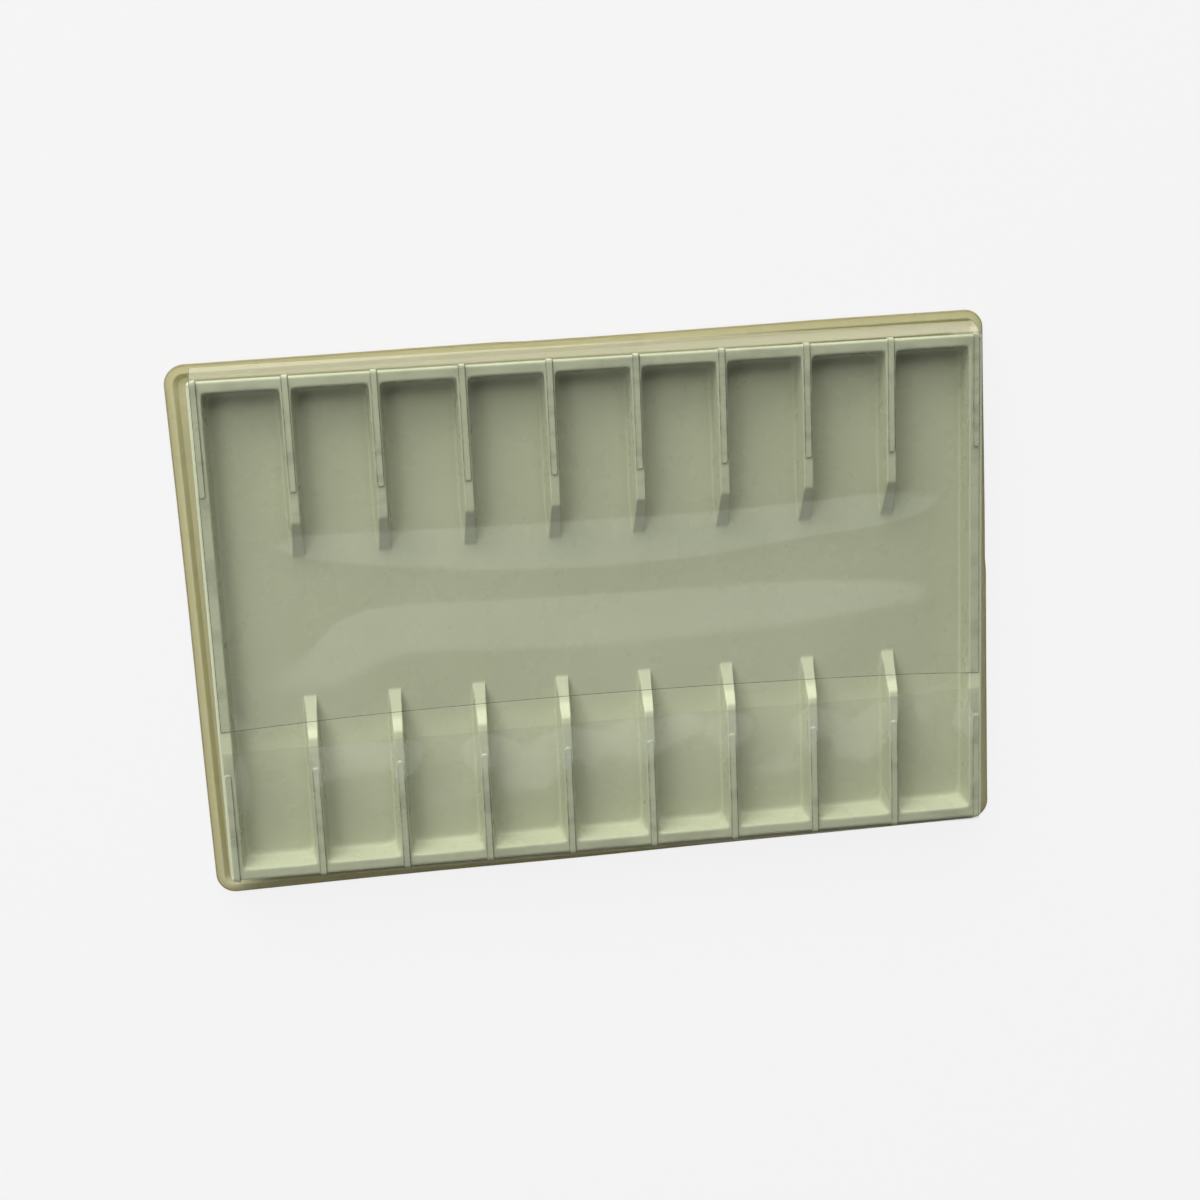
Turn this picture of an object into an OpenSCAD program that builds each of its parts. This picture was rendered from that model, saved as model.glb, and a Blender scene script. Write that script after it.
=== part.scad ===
// Painter's wet palette: a vacuum formed mixing tray with eighteen wells stands in its upturned lid,
// on the reservoir pad and the membrane sheets stored under it, with two panels of cover film over it.
// Millimetres, +Z up, origin on the table under the middle of the lid.

/* [Tray] */
// Outside length of the tray rim
tray_length = 384; // [340:1:400]
// Outside width of the tray rim
tray_width = 250; // [240:1:270]
// Corner radius of the tray rim
tray_corner = 3.6; // [3:0.1:6]
// Thickness of the tray's plastic
tray_wall = 1; // [0.8:0.1:1.2]
// Depth of the wells below the rim
well_depth = 12; // [10:0.5:16]
// Width of the rim at the two short ends
end_rim = 6.4; // [6:0.1:9]
// Width of the rim along the two long sides
side_rim = 5.6; // [5:0.1:9]
// Depth of the lip that the rim turns down
lip_depth = 3; // [2:0.1:4]
// Radius of the rim's outer edge
lip_round = 1.2; // [1:0.1:1.4]
// How far the tray lies off the lid's middle, to the right
tray_shift_x = 1.7; // [-1.8:0.1:1.8]
// How far the tray lies off the lid's middle, to the back
tray_shift_y = -0.4; // [-1:0.1:1]
// How far the tray lies turned in the lid, clockwise
tray_turn = 0.66; // [-0.7:0.02:0.7]

/* [Wells] */
// Wells along each long side
wells = 9; // [5:1:11]
// Width of a divider's flat top
divider_top = 4.6; // [4.2:0.1:6]
// Distance from the rim's outer edge to the end of a divider's flat top
divider_reach = 71; // [64:1:80]
// Length of the slope at a divider's inner end
divider_slope = 18.5; // [12:0.5:22]
// Width of the slope where it meets the floor
slope_foot = 5.6; // [4.6:0.1:8]
// How far a divider's side leans out between its top and the floor
well_draft = 1.6; // [1:0.1:2.4]
// How far the long walls lean in between the rim and the floor
side_draft = 2.8; // [1.8:0.1:4]
// Radius where a well's walls meet its floor
well_fillet = 1.6; // [1:0.1:2.2]
// Radius where the long walls meet the floor
side_fillet = 2.8; // [2:0.1:4]
// Radius of a well's upright corners at the floor
well_corner = 2; // [1.6:0.1:4]

/* [Ribs] */
// Width of the raised ribs on the dividers and the end rims
rib_width = 3.3; // [2.8:0.1:3.6]
// Height of the ribs above the rim
rib_height = 0.9; // [0.6:0.1:1.2]
// How far a rib stands out past the rim's outer edge
rib_nub = 0.7; // [0.4:0.1:0.9]
// Distance from the rim's outer edge to a rib's inner end
rib_reach = 56; // [40:1:60]
// Distance from the tray's end to the middle of an end rib
end_rib_inset = 3; // [2.9:0.1:3.2]

/* [Lid] */
// Outside length of the lid
lid_length = 400; // [396:1:430]
// Outside width of the lid
lid_width = 267.6; // [266:0.2:290]
// Outside corner radius of the lid
lid_corner = 10; // [9:0.5:14]
// Thickness of the lid's plastic
lid_wall = 0.9; // [0.7:0.1:1.2]
// Height of the lid's flange above the table
lid_height = 6; // [5.4:0.1:8]
// Width of the flat part of the flange
flange_width = 2.6; // [2:0.1:4]
// Radius of the flange's outer edge
flange_round = 1.7; // [1.2:0.1:2]
// Depth of the edge that the flange turns down
flange_edge = 2.4; // [2:0.1:3]
// Depth of the step from the flange to the shelf
step_depth = 2.5; // [2:0.1:2.6]
// Width of the sloping face of that step
step_run = 2.2; // [1.6:0.1:3]
// Width of the shelf
shelf_width = 5.4; // [4:0.1:6]
// Width of the sloping face from the shelf to the panel
recess_run = 1.4; // [1:0.1:2]
// Corner radius of the recess, at the panel
recess_corner = 6; // [4:0.5:9]

/* [Reservoir pad and membrane sheets] */
// Free space between the pad's ends and the wall of the lid's recess
pad_end_room = 6.7; // [5:0.1:30]
// Free space between the pad's long sides and the wall of the lid's recess
pad_side_room = 5.5; // [5:0.1:20]
// Thickness of the reservoir pad
pad_thickness = 2.2; // [1.5:0.1:2.4]
// Corner radius of the pad and of the sheets
pad_corner = 5; // [2:0.5:12]
// How far the sheets are cut back from the pad's edge
sheet_margin = 1.5; // [0:0.5:4]
// Membrane sheets in the pack
sheets = 6; // [1:1:6]
// Thickness of one membrane sheet
sheet_thickness = 0.12; // [0.08:0.01:0.14]
// Air between two sheets
sheet_air = 0.03; // [0.02:0.01:0.05]

/* [Cover film] */
// Thickness of the cover film
film_thickness = 0.2; // [0.1:0.05:0.4]
// Distance from the front rim's outer edge to the back panel's cut edge, at its ends
back_cut = 77.5; // [72:0.5:100]
// How far that cut edge bows back in its middle
back_bow = 3.8; // [2:0.1:8]
// Distance from the front rim's outer edge to the front panel's cut edge, at its left end
front_cut = 67; // [50:0.5:70]
// How much further back the cut edge lies at its right end
front_skew = 3; // [0:0.5:5]
// How far the film's hems reach past the rim's outer edge, at the lid
hem_reach = 4.6; // [4:0.1:6.5]
// Width left free between a hem and the tray's corner
hem_inset = 1.5; // [1:0.5:8]

/* [Hidden] */

play = 0.15;
cut = 1;
// Faces that carry on from one another are set back by this much, so that none nearly coincide
seam = 0.05;
arc_steps = 3;
corner_faces = 48;

lid_plastic = [0.80, 0.77, 0.60, 0.85];
tray_plastic = [0.63, 0.65, 0.55];
pad_fabric = [0.88, 0.86, 0.78];
sheet_paper = [0.95, 0.94, 0.90];
film_clear = [0.85, 0.92, 0.88, 0.35];

// Heights of the stack, from the table up
pad_base = lid_wall + play;
sheet_base = pad_base + pad_thickness + play;
sheet_pitch = sheet_thickness + sheet_air;
tray_base = sheet_base + sheets * sheet_pitch + play;
rim_top = tray_base + tray_wall + well_depth;
film_base = rim_top + rib_height + play;

// Plan of the lid, and of the pad that lies in its recess
flange_centre = lid_corner - flange_round;
step_top = flange_centre - flange_width;
step_foot = step_top - step_run;
step_inset = lid_corner - step_foot;
recess_inset = step_inset + shelf_width + recess_run;
recess_half_x = lid_length / 2 - recess_inset;
recess_half_y = lid_width / 2 - recess_inset;
pad_length = 2 * (recess_half_x - pad_end_room);
pad_width = 2 * (recess_half_y - pad_side_room);

// Plan of the tray
half_length = tray_length / 2;
half_width = tray_width / 2;
inner_half_length = half_length - end_rim;
inner_half_width = half_width - side_rim;
well_width = (2 * inner_half_length - (wells - 1) * divider_top) / wells;
well_pitch = well_width + divider_top;
reach_y = half_width - divider_reach;
foot_y = reach_y - divider_slope;
divider_x = [for (i = [1:wells - 1]) (i - wells / 2) * well_pitch];
end_rib_x = half_length - end_rib_inset;
rib_x = concat([-end_rib_x], divider_x, [end_rib_x]);
rib_radius = (pow(rib_width / 2, 2) + pow(rib_height, 2)) / (2 * rib_height);

// Section from a corner's centre line outward: a flat floor, a fillet and a leaning wall, ending at
// the height top. The wall and the floor lie the distance skin outside the hollow's own faces.
function hollow_section(foot, depth, draft, fillet, skin, top) =
    let (lean = atan(draft / depth),
         wall_radius = fillet + skin,
         centre_u = foot + draft * fillet / depth - fillet / cos(lean),
         centre_z = fillet - depth,
         wall_u = foot + draft * (top + depth) / depth + skin / cos(lean))
    concat([[0, top], [0, -depth - skin]],
           [for (i = [0:arc_steps])
               let (angle = -90 + i * (90 - lean) / arc_steps)
               [centre_u + wall_radius * cos(angle), centre_z + wall_radius * sin(angle)]],
           [[wall_u, top]]);

// The same section with its mirror image, as one outline
function trough_section(foot, depth, draft, fillet, skin, top) =
    let (half = hollow_section(foot, depth, draft, fillet, skin, top), last = len(half) - 1)
    concat([for (i = [2:last]) half[i]], [for (i = [last:-1:2]) [-half[i].x, half[i].y]]);

// Quarter arc of points round a centre
function quarter(centre, radius, from, to) =
    [for (i = [0:arc_steps])
        let (angle = from + (to - from) * i / arc_steps)
        centre + radius * [cos(angle), sin(angle)]];

// Runs a section round a rectangle of corner centres
module ring_of(centre_x, centre_y) {
    for (k = [0:3]) {
        a = k % 2 == 0 ? centre_x : centre_y;
        b = k % 2 == 0 ? centre_y : centre_x;
        rotate([0, 0, 90 * k]) translate([a, b, 0]) {
            rotate_extrude(angle = 90, $fn = corner_faces) children();
            rotate([90, 0, 0]) linear_extrude(2 * b) children();
        }
    }
}

// Slab with rounded corners between two heights
module slab(length, width, radius, low, high) {
    centre_x = length / 2 - radius;
    centre_y = width / 2 - radius;
    translate([0, 0, low]) linear_extrude(high - low) {
        square([length, 2 * centre_y], center = true);
        square([2 * centre_x, width], center = true);
        for (x = [-1, 1], y = [-1, 1]) translate([x * centre_x, y * centre_y]) {
            circle(r = radius, $fn = corner_faces);
        }
    }
}

// Draws something on the back side and again, mirrored, on the front side
module both_sides() {
    children();
    mirror([0, 1, 0]) children();
}

// Hollow with a flat floor, drafted walls and rounded corners, by the half sizes of its sharp foot
module pocket(half_x, half_y, radius, skin, top) {
    centre_x = half_x - radius;
    centre_y = half_y - radius;
    ring_of(centre_x, centre_y) {
        polygon(hollow_section(radius, well_depth, well_draft, well_fillet, skin, top));
    }
    translate([-centre_x, -centre_y, -well_depth - skin]) {
        cube([2 * centre_x, 2 * centre_y, well_depth + skin + top]);
    }
}

// One well, from the long wall to the end of the dividers' flat tops, on the back side
module well(x, skin, top) {
    half_x = well_width / 2 - well_draft;
    far_y = inner_half_width - well_draft;
    half_y = (far_y - reach_y) / 2 + well_corner + well_fillet;
    translate([x, far_y - half_y, 0]) intersection() {
        pocket(half_x, half_y, well_corner + well_fillet, skin, top);
        translate([-well_pitch, half_y - (far_y - reach_y), -2 * well_depth]) {
            cube([2 * well_pitch, well_pitch + far_y, 3 * well_depth]);
        }
    }
}

// The mixing area between the two rows of wells
module mixing_area(skin, top) {
    foot = inner_half_length - well_draft - seam;
    translate([0, reach_y, 0]) rotate([90, 0, 0]) linear_extrude(2 * reach_y) {
        polygon(trough_section(foot, well_depth, well_draft, well_fillet, skin, top));
    }
}

// Limits the hollow to the long walls, which lean more than the dividers
module between_long_walls(skin, top) {
    foot = inner_half_width - side_draft;
    rotate([90, 0, 90]) linear_extrude(2 * tray_length, center = true) {
        polygon(trough_section(foot, well_depth, side_draft, side_fillet, skin, top));
    }
}

// Tent shaped end of a divider on the back side, from the flat top down to the floor
module divider_end(x, skin) {
    top_half = divider_top / 2 - skin - seam;
    base_half = top_half + well_draft;
    foot_half = slope_foot / 2 - skin / 2;
    tip_y = foot_y + skin;
    back_y = reach_y + cut;
    low = -well_depth - 2 * skin;
    translate([x, 0, 0]) polyhedron(
        points = [[-top_half, back_y, -skin], [top_half, back_y, -skin],
                  [-base_half, back_y, low], [base_half, back_y, low],
                  [-top_half, reach_y, -skin], [top_half, reach_y, -skin],
                  [-base_half, reach_y, low], [base_half, reach_y, low],
                  [-foot_half, tip_y, low], [foot_half, tip_y, low]],
        faces = [[2, 3, 1, 0], [1, 5, 4, 0], [5, 9, 8, 4], [6, 8, 9, 7, 3, 2],
                 [4, 6, 2, 0], [8, 6, 4], [3, 7, 5, 1], [7, 9, 5]]);
}

// The space above the formed sheet, or below it when grown by the sheet's thickness
module hollow(skin, top) {
    intersection() {
        between_long_walls(skin, top);
        difference() {
            union() {
                mixing_area(skin, top);
                both_sides() for (i = [0:wells - 1]) {
                    well((i - (wells - 1) / 2) * well_pitch, skin, top);
                }
            }
            both_sides() for (x = divider_x) divider_end(x, skin);
        }
    }
}

// Rim with its turned-down lip
module rim() {
    centre = tray_corner - lip_round;
    outer = tray_corner;
    inner = tray_corner - tray_wall;
    slab(tray_length - 2 * lip_round, tray_width - 2 * lip_round, centre, -tray_wall, 0);
    ring_of(half_length - tray_corner, half_width - tray_corner) {
        polygon(concat([[centre - cut, 0]],
                       quarter([centre, -lip_round], lip_round, 90, 0),
                       [[outer, -lip_depth], [inner, -lip_depth], [inner, -lip_round]],
                       quarter([centre, -lip_round], lip_round - tray_wall, 0, 90),
                       [[centre - cut, -tray_wall]]));
    }
}

// Bar with a round end, running out over the rim's edge on the back side and down its lip
module rib_bar(radius, low) {
    axis_z = rib_height - rib_radius;
    outer_y = half_width + rib_nub - rib_radius;
    inner_y = half_width - rib_reach + rib_radius;
    translate([0, inner_y, axis_z]) {
        rotate([-90, 0, 0]) cylinder(r = radius, h = outer_y - inner_y, $fn = corner_faces);
        sphere(r = radius, $fn = corner_faces);
    }
    translate([0, outer_y, axis_z]) sphere(r = radius, $fn = corner_faces);
    translate([0, outer_y, low]) cylinder(r = radius, h = axis_z - low, $fn = corner_faces);
}

// Raised rib: the part of the bar that stands proud of the rim and of the lip
module rib(x) {
    translate([x, 0, 0]) difference() {
        rib_bar(rib_radius, -lip_depth);
        translate([-rib_width, -tray_wall / 2, -2 * lip_depth]) {
            cube([2 * rib_width, half_width, 2 * lip_depth - tray_wall / 2]);
        }
    }
}

// Channel that the rib leaves in the underside
module rib_channel(x) {
    translate([x, 0, 0]) rib_bar(rib_radius - tray_wall, -lip_depth - cut);
}

module placed_tray() {
    translate([tray_shift_x, tray_shift_y, 0]) rotate([0, 0, -tray_turn]) children();
}

module lid() color(lid_plastic) {
    step_half_x = lid_length / 2 - step_inset;
    step_half_y = lid_width / 2 - step_inset;
    shelf_top = lid_height - step_depth;
    inner_round = flange_round - lid_wall;
    flange_z = lid_height - flange_round;
    // Flange with its turned-down edge, and the step down to the shelf
    ring_of(lid_length / 2 - lid_corner, lid_width / 2 - lid_corner) {
        polygon(concat([[step_foot - cut / 2, shelf_top], [step_foot, shelf_top],
                        [step_top, lid_height]],
                       quarter([flange_centre, flange_z], flange_round, 90, 0),
                       [[lid_corner, lid_height - flange_edge],
                        [lid_corner - lid_wall, lid_height - flange_edge]],
                       quarter([flange_centre, flange_z], inner_round, 0, 90),
                       [[step_top + lid_wall / 2, lid_height - lid_wall],
                        [step_foot + lid_wall / 2, shelf_top - lid_wall],
                        [step_foot - cut / 2, shelf_top - lid_wall]]));
    }
    // Shelf
    difference() {
        slab(2 * step_half_x, 2 * step_half_y, step_foot, shelf_top - lid_wall, shelf_top);
        slab(2 * (recess_half_x + recess_run), 2 * (recess_half_y + recess_run),
             recess_corner + recess_run, 0, lid_height);
    }
    // Wall of the recess
    ring_of(recess_half_x - recess_corner, recess_half_y - recess_corner) {
        polygon([[recess_corner - cut, 0], [recess_corner + lid_wall, 0],
                 [recess_corner + recess_run + lid_wall, shelf_top - lid_wall],
                 [recess_corner + recess_run + lid_wall, shelf_top],
                 [recess_corner + recess_run, shelf_top],
                 [recess_corner, lid_wall], [recess_corner - cut, lid_wall]]);
    }
    // Flat panel
    slab(2 * recess_half_x, 2 * recess_half_y, recess_corner, 0, lid_wall);
}

module reservoir_pad() color(pad_fabric) {
    placed_tray() slab(pad_length, pad_width, pad_corner, pad_base, pad_base + pad_thickness);
}

module membrane_sheets() color(sheet_paper) {
    placed_tray() for (i = [0:sheets - 1]) {
        low = sheet_base + i * sheet_pitch;
        slab(pad_length - 2 * sheet_margin, pad_width - 2 * sheet_margin,
             pad_corner - sheet_margin, low, low + sheet_thickness);
    }
}

module tray() color(tray_plastic) {
    placed_tray() translate([0, 0, rim_top]) difference() {
        union() {
            rim();
            hollow(tray_wall, -tray_wall / 2);
            both_sides() for (x = rib_x) rib(x);
        }
        hollow(0, cut);
        both_sides() for (x = rib_x) rib_channel(x);
    }
}

// Section of a film panel across the tray: flat over the rim, then out and down to the lid
module film_section(free_y) {
    flat_y = half_width + rib_nub + play;
    hem_y = flat_y + hem_reach;
    hem_z = lid_height + 2 * play;
    top_z = film_base + film_thickness;
    polygon([[free_y, film_base], [flat_y, film_base], [hem_y, hem_z],
             [hem_y + film_thickness, hem_z], [flat_y + film_thickness, top_z], [free_y, top_z]]);
}

// Lays a film section along the tray's length
module film_strip(free_y) {
    length = tray_length - 2 * hem_inset;
    rotate([90, 0, 90]) linear_extrude(length, center = true) film_section(free_y);
}

module film_back_panel() color(film_clear) {
    cut_y = back_cut - half_width;
    bow_radius = (pow(half_length, 2) + pow(back_bow, 2)) / (2 * back_bow);
    placed_tray() difference() {
        film_strip(cut_y);
        translate([0, cut_y + back_bow - bow_radius, film_base - cut]) {
            cylinder(r = bow_radius, h = film_thickness + 2 * cut, $fn = 360);
        }
    }
}

module film_front_panel() color(film_clear) {
    cut_y = half_width - front_cut;
    placed_tray() rotate([0, 0, 180]) difference() {
        film_strip(cut_y - front_skew);
        translate([half_length, cut_y, film_base - cut]) rotate([0, 0, atan(front_skew / tray_length)]) {
            translate([-2 * tray_length, -tray_width, 0]) {
                cube([3 * tray_length, tray_width, film_thickness + 2 * cut]);
            }
        }
    }
}

lid();
reservoir_pad();
membrane_sheets();
tray();
film_back_panel();
film_front_panel();
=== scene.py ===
"""The looks of a wet palette: a formed tray of wells in its upturned lid, under two panels of clear film.

Lengths are in millimetres and become metres where a mesh or an object is made. The tray, the film, the pad
and the sheets are built in the tray's own frame: its origin is at the middle of the rim's top face, X runs
along the long side and Z is up. place_tray() then turns and moves them as the CAD tray is. The lid is built
where it stands.
"""

import math

import bpy
import numpy as np
from mathutils import Matrix, Vector


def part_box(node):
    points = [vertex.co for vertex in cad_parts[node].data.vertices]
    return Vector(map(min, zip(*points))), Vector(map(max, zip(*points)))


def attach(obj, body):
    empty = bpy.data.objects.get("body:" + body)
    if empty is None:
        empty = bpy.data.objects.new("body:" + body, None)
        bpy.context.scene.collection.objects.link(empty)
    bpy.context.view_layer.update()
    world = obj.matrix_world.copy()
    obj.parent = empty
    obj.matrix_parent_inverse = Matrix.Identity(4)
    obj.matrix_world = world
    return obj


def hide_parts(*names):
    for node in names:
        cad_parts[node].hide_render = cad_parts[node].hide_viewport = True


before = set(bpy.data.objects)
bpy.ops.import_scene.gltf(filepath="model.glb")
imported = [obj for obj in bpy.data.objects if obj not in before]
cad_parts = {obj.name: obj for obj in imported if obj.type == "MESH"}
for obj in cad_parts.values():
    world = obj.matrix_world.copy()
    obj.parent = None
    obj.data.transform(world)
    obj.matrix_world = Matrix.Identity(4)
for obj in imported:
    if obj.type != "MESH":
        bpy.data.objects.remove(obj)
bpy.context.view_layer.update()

MM = 0.001

# ---------------------------------------------------------------------------------------------- sizes

# The tray's rim, the thickness of its plastic, and the depth and inner edges of its hollow
HALF_LENGTH, HALF_WIDTH = 192.0, 125.0
CORNER = 3.6
WALL, LEAST_WALL = 1.0, 0.45
DEPTH = 12.0
INNER_X, INNER_Y = 185.6, 119.4
LIP_DEPTH, LIP_ROUND = 3.0, 1.2

# How the tray stands in the lid: moved, and turned clockwise by so many degrees
SHIFT_X, SHIFT_Y, TURN = 1.7, -0.4, 0.66

# The wells of each row and the dividers between them. The dividers' tops end at REACH_Y from the tray's
# middle line, and their slopes meet the floor of the mixing area at FOOT_Y, wider by FOOT_FLARE.
WELLS = 9
DIVIDER_HALF, FOOT_FLARE = 2.3, 0.5
REACH_Y, FOOT_Y = 54.0, 35.5
ROW_Y = REACH_Y + 4
PITCH = (2 * INNER_X - (WELLS - 1) * 2 * DIVIDER_HALF) / WELLS + 2 * DIVIDER_HALF
DIVIDERS = [(i - WELLS / 2) * PITCH for i in range(1, WELLS)]

# The raised ribs, which run in from the rim over the dividers, and stand proud of the lip by RIB_NUB
END_RIB = 189.0
RIBS = [-END_RIB, *DIVIDERS, END_RIB]
RIB_HALF, RIB_SHOULDER, RIB_HEIGHT, RIB_NUB, RIB_LENGTH = 1.75, 0.5, 0.6, 0.7, 56.0
CAD_RIB_HEIGHT = 0.9
RIB_END_Y = HALF_WIDTH - RIB_LENGTH + RIB_HALF

# Horizontal distance from a wall's top edge to where its fillet meets the floor
DIVIDER_RUN, SIDE_RUN, END_RUN, TIP_RUN = 3.0, 5.0, 3.0, 1.3

LID_HALF_LENGTH, LID_HALF_WIDTH = 200.0, 133.8
LID_CORNER, LID_WALL, LID_HEIGHT = 10.0, 0.9, 6.0

# The height of the rim's plane over the ground
RIM_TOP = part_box("tray")[1].z / MM - CAD_RIB_HEIGHT


# --------------------------------------------------------------------------------------- mesh helpers


def new_piece(name, points, faces, body, normals=None):
    """A mesh object from points in millimetres, riding on a CAD body."""
    mesh = bpy.data.meshes.new(name)
    mesh.from_pydata((np.asarray(points) * MM).tolist(), [], [list(map(int, f)) for f in faces])
    mesh.validate()
    mesh.polygons.foreach_set("use_smooth", [True] * len(mesh.polygons))
    if normals is not None:
        mesh.normals_split_custom_set_from_vertices(normals.tolist())
    mesh.update()
    piece = bpy.data.objects.new(name, mesh)
    bpy.context.scene.collection.objects.link(piece)
    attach(piece, body)
    return piece


def add_weights(piece, name, values):
    """A number at each point, which a material reads by its name."""
    piece.data.attributes.new(name, "FLOAT", "POINT").data.foreach_set("value", values)


def place_tray(points, vectors=False):
    """From the tray's frame to the row frame; vectors are only turned."""
    turn = math.radians(-TURN)
    x, y, z = np.asarray(points, float).T
    turned_x = x * math.cos(turn) - y * math.sin(turn)
    turned_y = x * math.sin(turn) + y * math.cos(turn)
    if vectors:
        return np.stack([turned_x, turned_y, z], 1)
    return np.stack([turned_x + SHIFT_X, turned_y + SHIFT_Y, z + RIM_TOP], 1)


def grid_faces(columns, rows, start=0, flip=False):
    """Quads of a grid whose points run along x first."""
    i, j = np.meshgrid(np.arange(columns - 1), np.arange(rows - 1))
    a = (start + j * columns + i).ravel()
    quads = np.stack([a, a + 1, a + columns + 1, a + columns], 1)
    return quads[:, ::-1] if flip else quads


def border_of(columns, rows):
    """Indices round a grid's border, anticlockwise seen from above."""
    bottom = list(range(columns))
    right = [j * columns + columns - 1 for j in range(1, rows)]
    top = [(rows - 1) * columns + i for i in range(columns - 2, -1, -1)]
    left = [j * columns for j in range(rows - 2, 0, -1)]
    return np.array(bottom + right + top + left)


def ring_faces(first, second):
    """Quads between two anticlockwise rings of indices, facing up where the first is the outer one."""
    return np.stack([first, np.roll(first, -1), np.roll(second, -1), second], 1)


def ring_indices(rings):
    """Each ring's indices, where rings of the same size follow one another."""
    size = len(rings[0])
    return [k * size + np.arange(size) for k in range(len(rings))]


def mirrored(values):
    """The values and their opposites, in order, each once."""
    values = np.asarray(values, float)
    return np.unique(np.round(np.concatenate([values, -values]), 4))


def soft_min(a, b, size):
    """The smaller of two numbers, with the turn between them rounded over about the size."""
    return 0.5 * (a + b - np.sqrt((a - b) ** 2 + size**2))


def soft_max(a, b, size):
    """The larger of two numbers, with the turn between them rounded over about the size."""
    return 0.5 * (a + b + np.sqrt((a - b) ** 2 + size**2))


def smooth_step(share):
    """From 0 to 1 as the share does, level at both ends."""
    share = np.clip(share, 0, 1)
    return share * share * (3 - 2 * share)


def bell(distance, width):
    """1 at no distance, falling away over the width."""
    return np.exp(-((distance / width) ** 2))


def waves(x, y, seed, scale, count=7):
    """Smooth seeded unevenness between about -1 and 1."""
    source = np.random.default_rng(seed)
    total = np.zeros(np.broadcast(x, y).shape)
    for _ in range(count):
        angle = source.uniform(0, math.tau)
        length = scale * source.uniform(0.6, 1.9)
        phase = source.uniform(0, math.tau)
        total = total + np.sin(math.tau * (x * math.cos(angle) + y * math.sin(angle)) / length + phase)
    return total / count * 1.6


# ------------------------------------------------------------------------------------------ the tray


def wall_section(draft, fillet, rounding):
    """A wall's section: distances from its top edge as shares of its run, and the depths there, 0 to 1."""
    lean = math.atan2(draft, DEPTH)
    share = math.tan((math.pi / 2 - lean) / 2)
    start, run = -rounding * share, draft + fillet * share
    turns = np.linspace(0, math.pi / 2 - lean, 14)
    top = [(start + rounding * math.sin(a), rounding * (1 - math.cos(a))) for a in turns]
    foot = [(run - fillet * math.sin(a), DEPTH - fillet * (1 - math.cos(a))) for a in turns[::-1]]
    table = np.array([(start - 1, 0), *top, *foot, (run + 1, DEPTH)])
    return table[:, 0] / run, table[:, 1] / DEPTH


# Draft, fillet at the floor and rounding of the top edge, above and below the sheet
TOP_SECTION = wall_section(1.6, 1.6, 0.75)
UNDER_SECTION = wall_section(1.6, 2.6, 0.12)
# The underside's walls stand further out by this share of the sheet's thickness
UNDER_GROWTH = 0.86
# The floor's slight unevenness comes in with the depth, from RIPPLE_FROM down
RIPPLE_HEIGHT, RIPPLE_FROM = 0.05, 8.0


def depth_share(t, section):
    """Depth of a wall from 0 to 1, at a distance from its top edge as a share of its run."""
    return np.interp(t, *section)


def corner_min(a, b, soft=0.9, power=3.6):
    """The smaller of two wall distances, with upright corners that round off more towards the floor."""
    a = np.maximum(a, 0.02 - soft) + soft
    b = np.maximum(b, 0.02 - soft) + soft
    return (a**-power + b**-power) ** (-1 / power) - soft


def nearest(x, places):
    """Distance from x to the nearest of the places."""
    return np.min([np.abs(x - place) for place in places], axis=0)


def rib_height(x, y, half):
    """Height of the flat topped ribs over the rim and the dividers."""
    across = nearest(x, RIBS)
    along = np.maximum(RIB_END_Y - np.abs(y), 0)
    return RIB_HEIGHT * smooth_step((half - np.hypot(across, along)) / RIB_SHOULDER)


def tray_height(x, y, skin=0.0):
    """Height of the formed sheet over the rim's plane, or of its underside where skin is its thickness."""
    section = UNDER_SECTION if skin else TOP_SECTION
    grow = UNDER_GROWTH * skin
    ay = np.abs(y)
    side = (INNER_Y - ay + grow) / (SIDE_RUN + grow)
    end = (INNER_X - np.abs(x) + grow) / (END_RUN + grow)
    outer = corner_min(side, end)
    beyond = np.clip((ay - FOOT_Y) / (REACH_Y - FOOT_Y), 0, 1)
    half = DIVIDER_HALF + FOOT_FLARE * (1 - beyond)
    run = TIP_RUN + (DIVIDER_RUN - TIP_RUN) * beyond
    divider = (nearest(x, DIVIDERS) - half + grow) / (run + grow)
    # Dividers carry on as tents that fall to the floor of the mixing area
    crest = soft_min(DEPTH * (ay - FOOT_Y - skin) / (REACH_Y - FOOT_Y), DEPTH, size=0.5)
    crest = soft_max(crest, 0, size=0.35) - 0.02
    crest = np.where(ay > ROW_Y, DEPTH, np.clip(crest, 0, DEPTH))
    wells = -DEPTH * depth_share(corner_min(outer, divider), section)
    tent = crest * (1 - depth_share(divider, section))
    mixing = -DEPTH + np.maximum(DEPTH * (1 - depth_share(outer, section)), tent)
    height = np.where(ay > ROW_Y, wells, np.maximum(mixing, -DEPTH))
    floor = np.clip((-height - RIPPLE_FROM) / (DEPTH - RIPPLE_FROM), 0, 1)
    height = height + RIPPLE_HEIGHT * floor * waves(x, y, 3, 60)
    return height - skin + rib_height(x, y, RIB_HALF - 0.75 * skin)


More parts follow.
